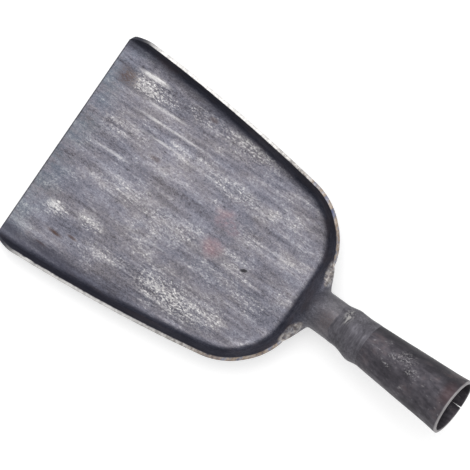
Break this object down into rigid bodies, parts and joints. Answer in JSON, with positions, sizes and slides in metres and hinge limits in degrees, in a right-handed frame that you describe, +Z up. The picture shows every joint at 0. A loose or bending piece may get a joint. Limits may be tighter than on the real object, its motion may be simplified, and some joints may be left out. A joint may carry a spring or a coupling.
{
  "type": "fireplace shovel head",
  "caption": "Hand-made fire shovel head in dark steel sheet: dished pan with an open lip, rolled neck and a tapered socket for a wooden handle.",
  "frame": {"origin": "on the surface that the pan stands on, under the middle of the whole head's box", "axes": "+Y runs from the open lip towards the socket's mouth, +X is to the right seen from above with the socket away from the viewer, +Z is up out of the pan's floor"},
  "size_m": [0.15, 0.285, 0.0591],
  "materials": {
    "pan_steel": "dark blued forge finish, streaked and worn lighter along the pan, with a bright ground rim",
    "socket_steel": "dark scale with purple and brown tones, light scratches and small pits",
    "weld_steel": "dressed weld metal, darkened, with cross-wise grinding marks"
  },
  "bodies": {
    "root": {"pan": "pan_steel", "socket": "socket_steel", "collar_weld": "weld_steel", "neck_seam_weld": "weld_steel", "socket_seam_weld": "weld_steel"}
  },
  "joints": []
}
